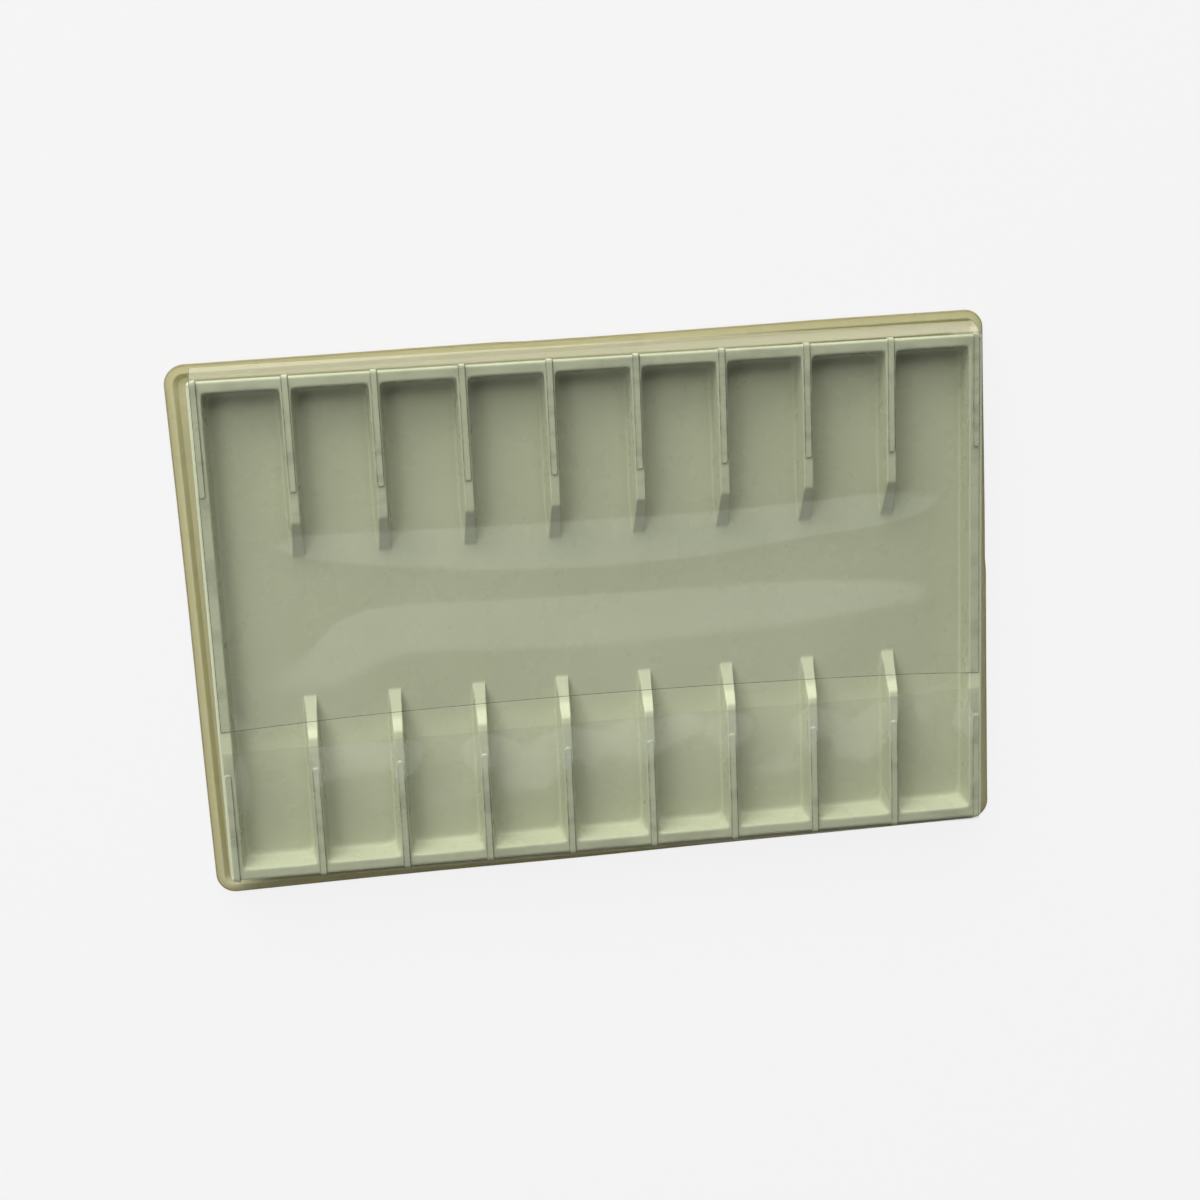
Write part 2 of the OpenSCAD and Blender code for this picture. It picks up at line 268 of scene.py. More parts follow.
def tray_lines():
    """Grid lines, close together where the sheet turns: distances from a divider, and from the inner edge."""
    near = [0, 0.9, 1.25, 1.38, 1.52, 1.75, 2.0, 2.2, 2.4, 2.7, 3.1, 3.6, 4.2, 5.0, 6.2, 9.5, 14.5]
    wall = [-0.3, -0.7, -1.2, -1.65, -1.88, -2.02, -2.15, -2.5, -3.4, -4.3, -4.65, -4.78, -4.92, -5.2]
    wall += [0, 0.18, 0.45, 0.85, 1.3, 1.8, 2.3, 2.65, 3.0, 3.6, 4.6, 7, 10.5, 15, 20, 25, 29.5]
    x = [d + s * n for d in DIVIDERS for n in near for s in (-1, 1)]
    x += [d + PITCH / 2 for d in DIVIDERS[:-1]] + [INNER_X - n for n in wall]
    x = [v for v in x if abs(v) <= HALF_LENGTH - LIP_ROUND + 1e-6]
    wall = [-0.4, -0.9, -1.6, -2.5, -3.4, -4.0, -4.4, 0, 0.25, 0.6, 1.0, 1.5, 2.0, 2.5, 2.9, 3.3, 3.8, 4.4]
    wall += [5.1, 6.0, 7.5, 10.5, 15, 20, 26, 32, 38, 43, 47, 48.4, 48.9, 49.4, 50.0, 50.6, 52, 55.5]
    wall += [59.5, 62.5, 64.2, 64.9, 65.4, 65.9, 66.6, 68, 70.5, 73.5, 76.5, 79.5, 82, 83.2, 83.9, 84.6]
    wall += [85.8, 88, 92, 98, 105, 112, 119.4]
    return mirrored(x), mirrored([INNER_Y - n for n in wall])


def rounded_plan(x, y, half_x, half_y, radius):
    """Pulls a grid's corner squares into quarter discs."""
    u = np.clip((np.abs(x) - (half_x - radius)) / radius, 0, 1)
    v = np.clip((np.abs(y) - (half_y - radius)) / radius, 0, 1)
    move = (u > 0) & (v > 0)
    new_u, new_v = u * np.sqrt(1 - v**2 / 2), v * np.sqrt(1 - u**2 / 2)
    round_x = np.sign(x) * (half_x - radius + new_u * radius)
    round_y = np.sign(y) * (half_y - radius + new_v * radius)
    return np.where(move, round_x, x), np.where(move, round_y, y)


def height_normals(x, y, height, step=0.03):
    """Upward normals of a height, from its slopes."""
    slope_x = (height(x + step, y) - height(x - step, y)) / (2 * step)
    slope_y = (height(x, y + step) - height(x, y - step)) / (2 * step)
    normals = np.stack([-slope_x, -slope_y, np.ones_like(slope_x)], 1)
    return normals / np.linalg.norm(normals, axis=1, keepdims=True)


def lip_rings(x, y, z, half_x, half_y, radius):
    """Rings of the lip, which turns down from the sheet's border: over the edge, down, back up inside."""
    out = np.stack([x - np.clip(x, radius - half_x, half_x - radius),
                    y - np.clip(y, radius - half_y, half_y - radius)], 1)
    out /= np.linalg.norm(out, axis=1, keepdims=True)
    proud = rib_height(x, y, RIB_HALF) / RIB_HEIGHT
    # Distance out from the border and height, point by point. The cut edge is a little ragged.
    profile = []
    for angle in np.radians([20, 42, 64, 90]):
        profile.append((LIP_ROUND * math.sin(angle) + RIB_NUB * proud * math.sin(angle),
                        z - LIP_ROUND * (1 - math.cos(angle))))
    reach = LIP_ROUND + RIB_NUB * proud
    foot = -LIP_DEPTH + 0.12 + 0.12 * waves(x, y, 11, 40)
    profile += [(reach, foot + 0.15), (reach - 0.12, foot), (reach - WALL + 0.12, foot),
                (reach - WALL, foot + 0.15), (reach - WALL, np.full_like(x, -LIP_ROUND - 0.1)),
                (0.08, np.full_like(x, -WALL - 0.04) + RIB_HEIGHT * 0.6 * proud)]
    return [np.stack([x + out[:, 0] * r, y + out[:, 1] * r, np.broadcast_to(h, x.shape)], 1)
            for r, h in profile]


def make_tray():
    """The formed sheet: a grid above, a grid below, and the lip that joins their borders."""
    lines_x, lines_y = tray_lines()
    columns, rows = len(lines_x), len(lines_y)
    half_x, half_y = HALF_LENGTH - LIP_ROUND, HALF_WIDTH - LIP_ROUND
    radius = CORNER - LIP_ROUND
    x, y = (g.ravel() for g in np.meshgrid(lines_x, lines_y))
    x, y = rounded_plan(x, y, half_x, half_y, radius)
    top = np.stack([x, y, tray_height(x, y)], 1)
    under = np.stack([x, y, np.minimum(tray_height(x, y, WALL), top[:, 2] - LEAST_WALL)], 1)
    count = len(top)
    border = border_of(columns, rows)
    rings = lip_rings(x[border], y[border], top[border, 2], half_x, half_y, radius)

    points = [top, under, *rings]
    faces = [grid_faces(columns, rows), grid_faces(columns, rows, count, flip=True)]
    indices = [border]
    indices += [2 * count + k * len(border) + np.arange(len(border)) for k in range(len(rings))]
    indices.append(border + count)
    faces += [ring_faces(b, a) for a, b in zip(indices, indices[1:])]

    # The top's normals are worked out from its height. Where they are zero, Blender makes its own.
    normals = np.zeros((2 * count + len(rings) * len(border), 3))
    normals[:count] = height_normals(x, y, tray_height)
    normals[border] = 0
    piece = new_piece("tray_shell", place_tray(np.concatenate(points)), np.concatenate(faces), "tray",
                      place_tray(normals, vectors=True))
    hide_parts("tray")
    return piece


# ------------------------------------------------------------------------------------------- the lid


def rounded_path(corners, steps=5):
    """A polyline with arcs in place of its corners; each corner is (x, z, radius)."""
    points = [np.array(c[:2], float) for c in corners]
    path = [points[0]]
    for before, here, after, (_, _, radius) in zip(points, points[1:], points[2:], corners[1:]):
        a = (before - here) / np.linalg.norm(before - here)
        b = (after - here) / np.linalg.norm(after - here)
        half = math.acos(np.clip(a @ b, -1, 1)) / 2
        room = 0.49 * min(np.linalg.norm(before - here), np.linalg.norm(after - here))
        reach = min(radius / math.tan(half), room)
        radius = reach * math.tan(half)
        centre = here + (a + b) / np.linalg.norm(a + b) * radius / math.sin(half)
        one, two = here + a * reach - centre, here + b * reach - centre
        sweep = math.atan2(one[0] * two[1] - one[1] * two[0], one @ two)
        for k in range(steps + 1):
            angle = sweep * k / steps
            turn = np.array([[math.cos(angle), -math.sin(angle)], [math.sin(angle), math.cos(angle)]])
            path.append(centre + turn @ one)
    path.append(points[-1])
    return np.array(path)


def outline(half_x, half_y, radius, along_x=56, along_y=40, corner=14):
    """A rounded rectangle, anticlockwise, with as many points for every size, and its outward directions."""
    points, outs = [], []
    centres = [np.array([sx * (half_x - radius), sy * (half_y - radius)])
               for sx, sy in ((1, -1), (1, 1), (-1, 1), (-1, -1))]
    for k, centre in enumerate(centres):
        for a in np.linspace(0, math.pi / 2, corner, endpoint=False):
            angle = a + (k - 1) * math.pi / 2
            direction = np.array([math.cos(angle), math.sin(angle)])
            points.append(centre + radius * direction)
            outs.append(direction)
        direction = np.array([math.cos(k * math.pi / 2), math.sin(k * math.pi / 2)])
        start, stop = centre + radius * direction, centres[(k + 1) % 4] + radius * direction
        for share in np.linspace(0, 1, along_y if k % 2 == 0 else along_x, endpoint=False):
            points.append(start + (stop - start) * share)
            outs.append(direction)
    return np.array(points), np.array(outs)


# The upper face's section, as (inset from the outer edge, height, radius of the turn): the turned-down edge,
# the flange, the step down to the shelf, the shelf, and the recess's wall and floor
SHELF_TOP, FLOOR_INSET = 3.5, 17.0
LID_SECTION = (
    (0.0, 3.62, 0), (0.0, LID_HEIGHT, 1.7), (4.3, LID_HEIGHT, 1.0), (6.5, SHELF_TOP, 0.6),
    (11.9, SHELF_TOP, 1.0), (13.3, LID_WALL, 0.6), (FLOOR_INSET, LID_WALL, 0),
)
# The corners' radius inside the flange, by the inset. Further out it is the outer corner's, less the inset.
INNER_CORNERS = ((5.4, 6.5, 11.9, 13.3, FLOOR_INSET), (4.6, 4.2, 7.4, 6.0, 4.0))
# The brown line of painted shade along the outer edge is full up to the first inset and gone at the second
EDGE_SHADE_INSETS = (0.6, 1.5)
# The formed lid's edge isn't quite straight: it bows in and dips, less and less up to LOOSE_WIDTH inwards,
# and at the back it has a small step
LOOSE_WIDTH, BOW, BOW_WAVE, DIP = 12.0, 0.35, 0.3, 0.25
STEP_X, STEP_SIZE, STEP_LENGTH = -34.0, 0.5, 1.2


def make_lid():
    """The lid, open side up: rings of its section, from the recess's floor out, round the edge and back."""
    upper = rounded_path(LID_SECTION)
    along = np.gradient(upper, axis=0)
    along /= np.linalg.norm(along, axis=1, keepdims=True)
    # Towards the underside: down and in from the outer edge
    under = upper + LID_WALL * np.stack([along[:, 1], -along[:, 0]], 1)
    under[:, 1] = np.maximum(under[:, 1], 0)
    under[-1] = (FLOOR_INSET, 0)
    section = np.concatenate([upper[::-1], under])
    rings, edges = [], []
    for inset, height in section:
        radius = LID_CORNER - inset
        if inset > INNER_CORNERS[0][0]:
            radius = np.interp(inset, *INNER_CORNERS)
        points, outs = outline(LID_HALF_LENGTH - inset, LID_HALF_WIDTH - inset, radius)
        x, y = points.T
        loose = np.clip(1 - inset / LOOSE_WIDTH, 0, 1)
        bow = BOW + BOW_WAVE * waves(x, y, 21, 190)
        step = STEP_SIZE / (1 + np.exp(np.clip((STEP_X - x) / STEP_LENGTH, -40, 40)))
        move = loose * np.clip(bow + np.where(y > 0, step, 0), 0, None)
        level = np.full(len(x), height) + (loose * DIP * waves(x, y, 5, 150) - DIP * loose)
        rings.append(np.stack([x - outs[:, 0] * move, y - outs[:, 1] * move, np.maximum(level, 0)], 1))
        # The edge weight: where the brown line of painted shade lies
        edges += [float(np.interp(inset, EDGE_SHADE_INSETS, (1, 0)))] * len(x)
    indices = ring_indices(rings)
    faces = [f for a, b in zip(indices, indices[1:]) for f in ring_faces(b, a)]
    faces.append(indices[0])
    faces.append(indices[-1][::-1])
    piece = new_piece("lid_shell", np.concatenate(rings), faces, "lid")
    add_weights(piece, "edge", edges)
    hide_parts("lid")
    return piece


# ------------------------------------------------------------------------------- the pad and the sheets

PAD_HALF_X, PAD_HALF_Y, PAD_CORNER = 180.0, 115.0, 5.0
# The sheets are smaller than the pad by the margin all round, and lie one step above each other
SHEETS, SHEET_MARGIN, SHEET_THICKNESS, SHEET_STEP = 6, 1.5, 0.12, 0.15


def slab_piece(name, half_x, half_y, radius, low, high, edge, wave, seed):
    """A flat piece on the lid, with edges rounded by edge and a top that is uneven by wave."""
    thick = high - low
    edge = min(edge, thick / 2)
    rings = []
    profile = [(edge, low), (edge * 0.3, low + edge * 0.3), (0, low + edge), (0, high - edge),
               (edge * 0.3, high - edge * 0.3), (edge, high)]
    profile += [(inset, high) for inset in (3, 8, 16, 28, 44, 62, 82, 104)]
    for inset, level in profile:
        points, _ = outline(half_x - inset, half_y - inset, max(radius - inset, 0.6),
                            along_x=44, along_y=30, corner=8)
        x, y = points.T
        z = np.full(len(x), level)
        if level > low + thick / 2:
            z = z - wave * (0.5 + 0.5 * waves(x, y, seed, 34))
        rings.append(np.stack([x, y, z], 1))
    indices = ring_indices(rings)
    faces = [f for a, b in zip(indices, indices[1:]) for f in ring_faces(a, b)]
    faces += [indices[0][::-1], indices[-1]]
    points = np.concatenate(rings)
    points[:, 2] -= RIM_TOP
    return new_piece(name, place_tray(points), faces, "lid")


def make_pad_and_sheets():
    """The felt pad in the lid's recess and the pile of membrane sheets on it."""
    low, high = (corner.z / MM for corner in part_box("reservoir_pad"))
    pad = slab_piece("reservoir_felt", PAD_HALF_X, PAD_HALF_Y, PAD_CORNER, low, high,
                     edge=0.6, wave=0.18, seed=31)
    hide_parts("reservoir_pad")
    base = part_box("membrane_sheets")[0].z / MM
    pieces = []
    half_x, half_y, radius = (size - SHEET_MARGIN for size in (PAD_HALF_X, PAD_HALF_Y, PAD_CORNER))
    for k in range(SHEETS):
        low = base + SHEET_STEP * k
        name = f"membrane_sheet_{k + 1}"
        sheet = slab_piece(name, half_x, half_y, radius, low, low + SHEET_THICKNESS,
                           edge=0.02, wave=0.03, seed=40 + k)
        pieces.append(sheet)
    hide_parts("membrane_sheets")
    return pad, pieces


# ------------------------------------------------------------------------------------------- the film

FILM_HALF_X = 190.5
# The cut edges: the back panel's at its middle and how far it bows, the front panel's at both ends
BACK_CUT, BACK_BOW = -47.5, 3.8
FRONT_LEFT, FRONT_RIGHT = -58.0, -55.0
# Over this distance the mesh's lines turn from the cut edge's run to the tray's
CUT_BLEND = 30.0

# The film's edge over the rim, and the foot of its hem at the lid. The mesh gives the hem HEM_SPAN, and the
# film in it is HEM_LENGTH long.
EDGE_Y, HEM_Y, HEM_Z = 125.85, 130.2, 6.3 - RIM_TOP
HEM_SPAN, HEM_LENGTH = 13.0, 13.2

# Film lies on the ribs and falls away from them, by REST_CREST over about REST_FALL, and settles to one level
# from SETTLE_Y in to FREE_Y. From there to its cut edge the back panel hangs free, where the end rims hold it
# up less and less over HELD_WIDTH.
REST_LOW, REST_LEVEL = 0.26, 0.42
REST_CREST, REST_HALF, REST_FALL = 0.6, 1.3, 17.0
SETTLE_Y, FREE_Y, FREE_BLEND = 76.0, 58.0, 12.0
HELD_WIDTH = 22.0

# The front panel's cut edge curls up a little, from CURL_Y on, and its film is loose over the wells
CURL_Y, CURL_WIDTH = 84.0, 28.0
LOOSE_WAVE = 0.16

# The least slope at which film mirrors the long lamp: at the tray's middle, and its growth towards the back
LAMP_SLOPE, LAMP_SLOPE_GROWTH = 0.0332, 0.000914

# Two swells of the free film, at stations along the tray: the middle of the steep strip, and half its width
BACK_SWELL = (
    (-186, -168, -150, -130, -100, -50, 0, 50, 100, 130, 150, 165, 186),
    (57, 53, 45.9, 42.3, 39.2, 35.4, 34.4, 34.8, 39.2, 42, 44, 46, 50),
    (-13, 0.3, 6.1, 7.3, 8.5, 10.5, 11.2, 9.9, 8.2, 8.6, 8.2, 5.7, -13),
)
FRONT_SWELL = (
    (-186, -160, -147, -135, -120, -109, -87, -50, 0, 58, 98, 121, 145, 157, 186),
    (-24, -23, -19.5, -12.5, -6.5, -3.2, -2, -3.8, -4.9, -4.2, -3.2, -2.4, -2, -2.8, -5),
    (-14, -8, 2.5, 14.5, 14, 12, 10.8, 11.2, 11.6, 10.5, 8.8, 6.4, 3, -1, -14),
)
SWELL_WIDTH, SWELL_RISE = 11.0, 0.44
# From CUT_RISE_Y to the back panel's cut edge the film rises again by this slope
CUT_RISE, CUT_RISE_Y = 0.012, -28.0


def station_value(x, stations, values):
    """A smooth curve along the tray through the stations' values."""
    shifts = (-9, -6, -3, 0, 3, 6, 9)
    return sum(np.interp(x + shift, stations, values) for shift in shifts) / len(shifts)


def film_slope(x, y):
    """Fall of the free film over the mixing area towards the front, in mm per mm."""
    least = np.clip(LAMP_SLOPE + LAMP_SLOPE_GROWTH * y, 0.008, None)
    total = -CUT_RISE * smooth_step((CUT_RISE_Y - y) / 12)
    for stations, middle, half in (BACK_SWELL, FRONT_SWELL):
        middle = station_value(x, stations, middle)
        half = station_value(x, stations, half)
        off = (half * np.abs(half) - (y - middle) ** 2) / SWELL_WIDTH**2
        total = total + least * soft_max(1 + SWELL_RISE * off, 0, size=0.15)
    return total


def resting_height(x, ay):
    """Film lying on the ribs and rims, sagging very little between them; level past the ribs' ends."""
    crest = REST_CREST * np.exp(-np.clip(nearest(x, RIBS) - REST_HALF, 0, None) / REST_FALL)
    settled = smooth_step((SETTLE_Y - ay) / (SETTLE_Y - FREE_Y))
    return (crest + REST_LOW) * (1 - settled) + REST_LEVEL * settled


def back_film_height(x, y, steps=48):
    """Height of the back panel over the rim's plane. Its free part is the slope, summed from FREE_Y on."""
    free = np.zeros(np.broadcast(x, y).shape)
    below = np.minimum(y, FREE_Y)
    for k in range(steps):
        at = FREE_Y + (below - FREE_Y) * (k + 0.5) / steps
        slope = film_slope(x, at) * smooth_step((FREE_Y - at) / FREE_BLEND)
        free = free + slope * (below - FREE_Y) / steps
    # It is held up at both ends, by the end rims
    held = 1 - (1 - np.clip((INNER_X - 1 - np.abs(x)) / HELD_WIDTH, 0, 1)) ** 2.5
    return resting_height(x, np.maximum(np.abs(y), FREE_Y)) + free * held


def front_film_height(x, y):
    """Height of the front panel, which lies on the dividers all the way, a little uneven over the wells."""
    loose = smooth_step((nearest(x, RIBS) - 2) / 10) * smooth_step((INNER_Y - np.abs(y)) / 8)
    near = np.clip((CURL_Y - np.abs(y)) / CURL_WIDTH, 0, 1)
    curl = 0.37 * near**2 + 0.11 * near
    return resting_height(x, np.abs(y)) + curl + LOOSE_WAVE * loose * (waves(x, y, 61, 38) - 0.4)


def film_lines():
    """Lines across the film, close together beside the ribs."""
    near = [0, 0.9, 1.25, 1.45, 1.62, 1.8, 2.0, 2.4, 3.0, 4.0, 5.5, 7.5, 10, 13, 16.5]
    x = [d + s * n for d in DIVIDERS for n in near for s in (-1, 1)]
    x += [d + PITCH / 2 for d in DIVIDERS[:-1]]
    x += [END_RIB - n for n in (0, 1.25, 1.45, 1.62, 1.8, 2.0, 2.6, 3.4, 4, 5, 6, 9, 13, 18, 23)]
    x += [FILM_HALF_X, FILM_HALF_X - 0.3]
    return mirrored([v for v in x if abs(v) <= FILM_HALF_X])


def make_film(name, node, body, side, cut_y, height, lines_y):
    """A panel from its cut edge over the rim and down to the lid. side is 1 at the back and -1 in front."""
    lines_x = film_lines()
    x, v = np.meshgrid(lines_x, np.array(lines_y, float))
    start = cut_y(x)
    # The first lines follow the cut edge, the others are straight
    share = np.clip((v - lines_y[0]) / CUT_BLEND, 0, 1)
    y = np.where(v <= EDGE_Y, start + (v - lines_y[0]) * (1 - share) + (v - start) * share, v)
    y = np.where(v <= EDGE_Y, np.maximum(y, start), y)
    z = height(x, y)
    # Past the rim's edge the film turns down to the lid in a soft fold
    hem = np.clip((v - EDGE_Y) / HEM_SPAN, 0, 1)
    edge_z = height(x, np.full_like(x, EDGE_Y))
    slack = 0.35 * waves(x, v, 51, 70) * np.sin(np.pi * hem)
    y = np.where(v > EDGE_Y, EDGE_Y + (HEM_Y - EDGE_Y) * hem**0.8 + np.minimum(slack, 0.1), y)
    z = np.where(v > EDGE_Y, edge_z + (HEM_Z - edge_z) * hem, z)
    points = np.stack([x.ravel(), side * y.ravel(), z.ravel()], 1)
    faces = grid_faces(len(lines_x), len(lines_y), flip=side < 0)
    piece = new_piece(name, place_tray(points), faces, body)

    # Where it lies on ribs and rims, where a dark line of painted shade runs beside a rib, and where it is
    # hem
    ay, across = y.ravel(), nearest(points[:, 0], RIBS)
    on_ribs = bell(np.maximum(across - 1.5, 0), 0.7) * (ay > REACH_Y) * (ay < EDGE_Y)
    on_rims = ((ay > INNER_Y) & (ay < EDGE_Y)) | (np.abs(points[:, 0]) > INNER_X)
    add_weights(piece, "contact", np.maximum(on_ribs, 0.8 * on_rims))
    beside = bell(across - 1.62, 0.2) * (ay > RIB_END_Y - RIB_HALF) * (ay < EDGE_Y)
    add_weights(piece, "outline", beside)
    add_weights(piece, "hem", smooth_step((v.ravel() - EDGE_Y) / 1.5))

    # The back panel's cut edges have a material of their own, a speckled dark line of painted shade
    slots = np.zeros(len(faces), int)
    if side > 0:
        columns = len(lines_x) - 1
        row, column = np.divmod(np.arange(len(faces)), columns)
        slots[(row == 0) | (column == 0) | (column == columns - 1)] = 1
    piece.data.polygons.foreach_set("material_index", slots)
    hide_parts(node)
    return piece


def make_films():
    """The two panels, each from the lines of its mesh along the tray and from its cut edge."""
    outer = [72, 77, 83, 89, 95, 101, 107, 112, 116, 118.5, 120, 121.5, 123, 124.4, 125.3, EDGE_Y]
    outer += [EDGE_Y + d for d in (0.5, 1.1, 2.0, 3.5, 5.5, 8, 10.5, 12.6, HEM_SPAN)]
    back = [-43.7, -43.35, -42.5, -40, -36, *np.arange(-31, 54, 4.0), 54, 57, 60, 64, 68, *outer]
    front = [56.5, 56.85, 57.6, 60, 64, 68, *outer]
    bow_radius = (HALF_LENGTH**2 + BACK_BOW**2) / (2 * BACK_BOW)

    def back_cut(x):
        return BACK_CUT + BACK_BOW - bow_radius + np.sqrt(bow_radius**2 - x**2)

    def front_cut(x):
        return -(FRONT_LEFT + (FRONT_RIGHT - FRONT_LEFT) * (x + HALF_LENGTH) / (2 * HALF_LENGTH))

    return (
        make_film("film_back_sheet", "film_back_panel", "film_back", 1, back_cut, back_film_height,
                  back),
        make_film("film_front_sheet", "film_front_panel", "film_front", -1, front_cut, front_film_height,
                  front),
    )


# ------------------------------------------------------------------------------------------ materials


class Nodes:
    """Shorthand for a material's node tree. A value is a number, a colour or another node's output."""

    def __init__(self, name):
        self.material = bpy.data.materials.new(name)
        self.material.use_nodes = True
        self.tree = self.material.node_tree
        self.tree.nodes.clear()
        self.out = self.add("ShaderNodeOutputMaterial")

    def add(self, kind, **inputs):
        """A node, with its own settings and its inputs by name."""
        node = self.tree.nodes.new(kind)
        for key, value in inputs.items():
            if hasattr(node, key) and key not in node.inputs:
                setattr(node, key, value)
            else:
                self.set(node, key, value)
        return node

    def set(self, node, key, value):
        """Sets or links an input, by its name or number."""
        socket = node.inputs[key]
        if isinstance(value, bpy.types.NodeSocket):
            self.tree.links.new(value, socket)
        else:
            socket.default_value = value

    def weight(self, name):
        """The piece's own numbers of this name."""
        return self.add("ShaderNodeAttribute", attribute_name=name).outputs["Fac"]

    def noise(self, scale, detail=2.0, roughness=0.5, stretch=None):
        """Noise that stays on the piece, in the piece's own coordinates."""
        where = self.add("ShaderNodeTexCoord").outputs["Object"]
        if stretch:
            where = self.add("ShaderNodeMapping", Vector=where, Scale=stretch).outputs["Vector"]
        node = self.add("ShaderNodeTexNoise", Vector=where, Scale=scale, Detail=detail, Roughness=roughness)
        return node.outputs["Fac"]

    def between(self, value, low, high, out_low=0.0, out_high=1.0):
        """From out_low to out_high as the value goes from low to high."""
        node = self.add("ShaderNodeMapRange", clamp=True)
        for key, number in zip(("Value", "From Min", "From Max", "To Min", "To Max"),
                               (value, low, high, out_low, out_high)):
            self.set(node, key, number)
        return node.outputs["Result"]

    def math(self, operation, a, b):
        node = self.add("ShaderNodeMath", operation=operation)
        self.set(node, 0, a)
        self.set(node, 1, b)
        return node.outputs[0]

    def mix(self, share, a, b):
        """A mix of two colours. The node's colour sockets are the inputs 6 and 7 and the output 2."""
        node = self.add("ShaderNodeMix", data_type="RGBA")
        self.set(node, 0, share)
        self.set(node, 6, a)
        self.set(node, 7, b)
        return node.outputs[2]

    def bump(self, height, strength, distance):
        node = self.add("ShaderNodeBump", Height=height, Strength=strength, Distance=distance)
        return node.outputs["Normal"]

    def principled(self, **values):
        """The usual shader; an underscore stands for a space in a socket's name."""
        shader = self.add("ShaderNodeBsdfPrincipled")
        for key, value in values.items():
            self.set(shader, key.replace("_", " "), value)
        return shader

    def blend(self, share, first, second):
        """A mix of two shaders."""
        node = self.add("ShaderNodeMixShader")
        for index, value in enumerate((share, first.outputs[0], second.outputs[0])):
            self.set(node, index, value)
        return node

    def finish(self, shader):
        self.set(self.out, "Surface", shader.outputs[0])
        return self.material


def tray_material():
    n = Nodes("tray_plastic_formed")
    cloud = n.between(n.noise(14, 3), 0.3, 0.7)
    fine = n.noise(260, 2)
    colour = n.mix(cloud, (0.436, 0.462, 0.312, 1), (0.473, 0.496, 0.342, 1))
    rough = n.between(n.noise(60, 4), 0.3, 0.7, 0.24, 0.33)
    height = n.math("ADD", n.noise(32, 2), n.math("MULTIPLY", fine, 0.08))
    return n.finish(n.principled(
        Base_Color=colour, Roughness=rough, IOR=1.49, Normal=n.bump(height, 0.14, 0.0006),
        Coat_Weight=0.15, Coat_Roughness=0.14))


def lid_material():
    n = Nodes("lid_plastic_cream")
    cloud = n.between(n.noise(9, 3), 0.3, 0.7)
    colour = n.mix(cloud, (0.575, 0.56, 0.36, 1), (0.625, 0.605, 0.40, 1))
    # Towards the outer edge the colour turns dark brown: painted shade along the edge
    colour = n.mix(n.math("MULTIPLY", n.weight("edge"), 0.85), colour, (0.17, 0.145, 0.06, 1))
    rough = n.between(n.noise(50, 4), 0.3, 0.7, 0.24, 0.38)
    shader = n.principled(
        Base_Color=colour, Roughness=rough, IOR=1.5, Normal=n.bump(n.noise(30, 2), 0.3, 0.0005),
        Subsurface_Weight=0.6, Subsurface_Radius=(1.0, 0.9, 0.55), Subsurface_Scale=0.004)
    # Thin and milky: some of the light comes through from behind
    glow = n.add("ShaderNodeBsdfTranslucent", Color=(0.62, 0.59, 0.34, 1))
    return n.finish(n.blend(0.3, shader, glow))


def pad_material():
    n = Nodes("pad_felt")
    fibre = n.noise(900, 4, 0.7)
    clump = n.noise(120, 3, 0.6)
    colour = n.mix(n.between(fibre, 0.3, 0.7), (0.70, 0.68, 0.58, 1), (0.86, 0.84, 0.75, 1))
    return n.finish(n.principled(
        Base_Color=colour, Roughness=0.95, Normal=n.bump(n.math("ADD", fibre, clump), 0.8, 0.0008),
        Sheen_Weight=0.3))


def sheet_material():
    n = Nodes("sheet_paper")
    fibre = n.noise(500, 5, 0.65)
    mottle = n.between(n.noise(45, 4, 0.6), 0.35, 0.65)
    colour = n.mix(mottle, (0.84, 0.83, 0.77, 1), (0.90, 0.89, 0.84, 1))
    return n.finish(n.principled(Base_Color=colour, Roughness=0.7, Normal=n.bump(fibre, 0.25, 0.0002)))


def film_material():
    """Clear film: mostly an opening that dims what lies under it, with a faint mirror on top."""
    n = Nodes("cover_film_clear")
    facing = n.add("ShaderNodeLayerWeight", Blend=0.3)
    hem = n.weight("hem")
    level = n.math("SUBTRACT", 1.0, hem)
    slant = n.math("MULTIPLY", n.between(facing.outputs["Fresnel"], 0.06, 0.6), level)
    # Blotches where it clings to the tray, and a broken dark line of painted shade beside the ribs
    blotch = n.between(n.noise(75, 5, 0.62, stretch=(0.55, 1.5, 1)), 0.5, 0.62)
    wet = n.math("MULTIPLY", n.weight("contact"), blotch)
    broken = n.between(n.noise(160, 3, 0.6), 0.3, 0.6, 0.45, 1)
    ring = n.math("MULTIPLY", n.weight("outline"), broken)
    # The plain film's opacity and colour, and what each mark adds to them
    solid, colour = 0.11, (0.60, 0.65, 0.61, 1)
    # The rib line is painted shade; the hem's pale cream, without the mirror, is painted sheen
    for mark, opaque, own in ((slant, 0.14, (0.85, 0.87, 0.84, 1)), (wet, 0.12, (0.62, 0.66, 0.64, 1)),
                              (ring, 0.6, (0.15, 0.175, 0.175, 1)), (hem, 0.10, (0.72, 0.70, 0.57, 1))):
        solid = n.math("ADD", solid, n.math("MULTIPLY", mark, opaque))
        colour = n.mix(mark, colour, own)
    rough = n.between(n.noise(40, 3), 0.3, 0.7, 0.03, 0.06)
    return n.finish(n.principled(
        Base_Color=colour, Roughness=rough, Alpha=solid, Metallic=n.math("MULTIPLY", level, 0.9),
        Normal=n.bump(n.noise(24, 2), 0.03, 0.0005)))


def cut_edge_shade_material():
    # A near-black, speckled line of painted shade along the clear film's cut edge
    n = Nodes("film_cut_edge_shade")
    speckle = n.between(n.noise(400, 3, 0.6), 0.3, 0.7, 0.6, 0.85)
    return n.finish(n.principled(Base_Color=(0.09, 0.10, 0.08, 1), Roughness=0.25, Alpha=speckle))


# ------------------------------------------------------------------------------- camera, lights, floor

# The camera's place and target in the tray's frame, and its roll in degrees
LENS, SENSOR = 63.961, 36.0
CAMERA_FROM, CAMERA_TO, CAMERA_ROLL = (-121.1, 271.98, 1006.49), (-1.48, 5.35, 0.0), 2.476

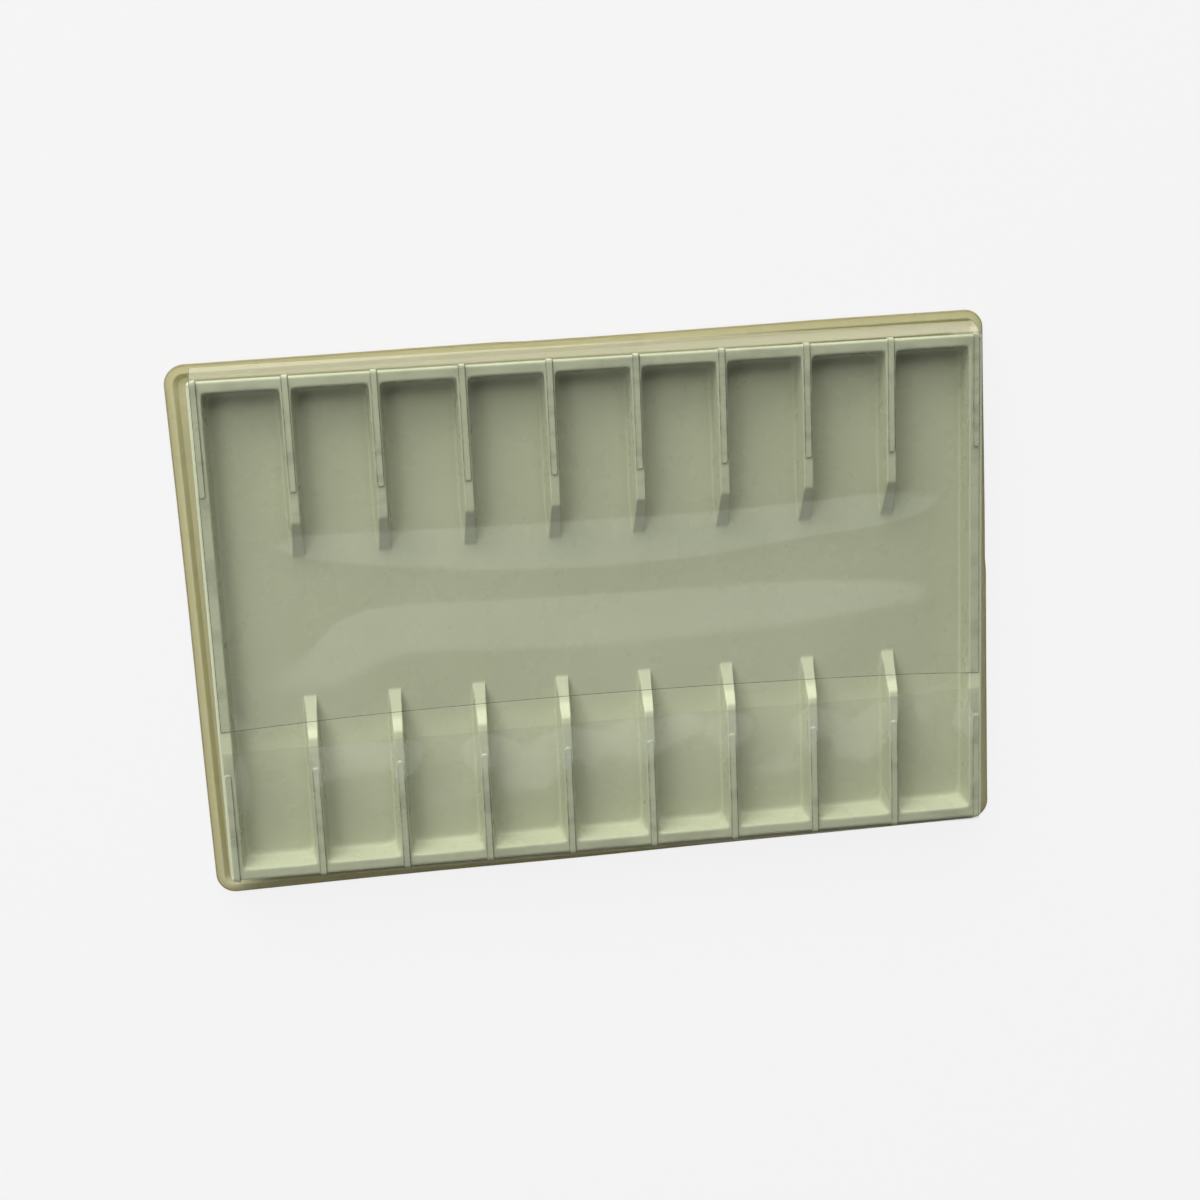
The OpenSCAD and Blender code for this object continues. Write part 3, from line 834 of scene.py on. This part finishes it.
# Each lamp's name, place, target, size, power in watts, and whether glossy surfaces mirror it
LAMPS = (
    ("key", (-800, 3700, 2600), (0, 0, 0), (5800, 3900), 308, False),
    ("low", (-1500, 4200, 1300), (0, 0, 0), (5000, 1500), 171, False),
    ("left", (-800, 300, 850), (0, 0, 0), (500, 500), 2.25, True),
    ("long_lamp", (155, -456, 1217), (155, 0, 0), (690, 104), 0.17, True),
)
WORLD_STRENGTH = 0.08

# The floor's flat radius, the radius of the bend round it, and the backdrop's height. It lies a little lower
# than the lid's underside.
FLOOR_FLAT, FLOOR_BEND, BACKDROP_HEIGHT, FLOOR_GAP = 6500.0, 1500.0, 4500.0, 0.2
# How bright it looks to the camera and in gloss, and how much of that look covers its real shading there
FLOOR_SEEN, SEEN_SHARE = 0.912, 0.94


def make_camera():
    """The camera, from its place in the tray's frame."""
    eye, target = (Vector(place_tray([p])[0]) * MM for p in (CAMERA_FROM, CAMERA_TO))
    roll = math.radians(CAMERA_ROLL)
    up_hint = Vector(place_tray([(math.sin(roll), math.cos(roll), 0)], vectors=True)[0])
    back = (eye - target).normalized()
    right = up_hint.cross(back).normalized()
    up = back.cross(right)
    data = bpy.data.cameras.new("camera")
    data.lens, data.sensor_width, data.sensor_fit = LENS, SENSOR, "HORIZONTAL"
    data.clip_start, data.clip_end = 0.05, 50
    camera = bpy.data.objects.new("camera", data)
    basis = Matrix((right, up, back)).transposed().to_4x4()
    camera.matrix_world = Matrix.Translation(eye) @ basis
    bpy.context.scene.collection.objects.link(camera)
    bpy.context.scene.camera = camera


def add_lamp(name, place, target, size, power, mirrored_by_gloss):
    """A rectangular lamp that the camera doesn't see."""
    data = bpy.data.lights.new(name, "AREA")
    data.shape = "RECTANGLE"
    data.size, data.size_y = size[0] * MM, size[1] * MM
    data.energy = power
    lamp = bpy.data.objects.new(name, data)
    lamp.visible_camera = False
    lamp.visible_glossy = mirrored_by_gloss
    eye, aim = Vector(place) * MM, Vector(target) * MM
    turn = (eye - aim).to_track_quat("Z", "Y").to_matrix().to_4x4()
    lamp.matrix_world = Matrix.Translation(eye) @ turn
    bpy.context.scene.collection.objects.link(lamp)


def floor_material():
    """Seen almost white by the camera and in gloss and film, and plain for the light. It keeps the shadow."""
    n = Nodes("floor_pale")
    path = n.add("ShaderNodeLightPath")
    seen = n.math("MAXIMUM", path.outputs["Is Camera Ray"], path.outputs["Is Glossy Ray"])
    seen = n.math("MAXIMUM", seen, path.outputs["Is Transmission Ray"])
    plain = n.principled(Base_Color=(0.80, 0.80, 0.79, 1), Roughness=0.9)
    lit = n.add("ShaderNodeEmission", Color=(FLOOR_SEEN, FLOOR_SEEN, FLOOR_SEEN, 1))
    return n.finish(n.blend(n.math("MULTIPLY", seen, SEEN_SHARE), plain, lit))


def make_floor():
    """A pale floor, swept up into a round backdrop."""
    profile = [(FLOOR_FLAT * share, 0.0) for share in (0.1, 0.4, 0.7, 1.0)]
    for a in np.radians(np.arange(7.5, 91, 7.5)):
        profile.append((FLOOR_FLAT + FLOOR_BEND * math.sin(a), FLOOR_BEND * (1 - math.cos(a))))
    profile.append((FLOOR_FLAT + FLOOR_BEND, BACKDROP_HEIGHT))
    angles = np.radians(np.arange(0, 360, 3))
    rings = [[(r * math.cos(a) * MM, r * math.sin(a) * MM, z * MM) for a in angles] for r, z in profile]
    indices = ring_indices(rings)
    faces = [f for inner, outer in zip(indices, indices[1:]) for f in ring_faces(outer, inner)]
    mesh = bpy.data.meshes.new("floor")
    mesh.from_pydata(np.concatenate(rings).tolist(), [], [f.tolist() for f in [indices[0], *faces]])
    mesh.polygons.foreach_set("use_smooth", [True] * len(mesh.polygons))
    mesh.materials.append(floor_material())
    floor = bpy.data.objects.new("floor", mesh)
    floor.location.z = -FLOOR_GAP * MM
    bpy.context.scene.collection.objects.link(floor)


def make_world():
    """A faint, even light from all round."""
    world = bpy.data.worlds.new("world")
    world.use_nodes = True
    background = world.node_tree.nodes["Background"]
    background.inputs["Color"].default_value = (1, 1, 1, 1)
    background.inputs["Strength"].default_value = WORLD_STRENGTH
    bpy.context.scene.world = world


def dress():
    """The whole scene: the pieces with their materials, the floor, the world and the lamps."""
    bpy.context.scene.view_settings.view_transform = "Standard"
    make_camera()
    tray = make_tray()
    lid = make_lid()
    pad, sheets = make_pad_and_sheets()
    back, front = make_films()
    tray.data.materials.append(tray_material())
    lid.data.materials.append(lid_material())
    pad.data.materials.append(pad_material())
    paper = sheet_material()
    for sheet in sheets:
        sheet.data.materials.append(paper)
    clear, edge = film_material(), cut_edge_shade_material()
    for film in (back, front):
        film.data.materials.append(clear)
        film.data.materials.append(edge)
    make_floor()
    make_world()
    for lamp in LAMPS:
        add_lamp(*lamp)


dress()
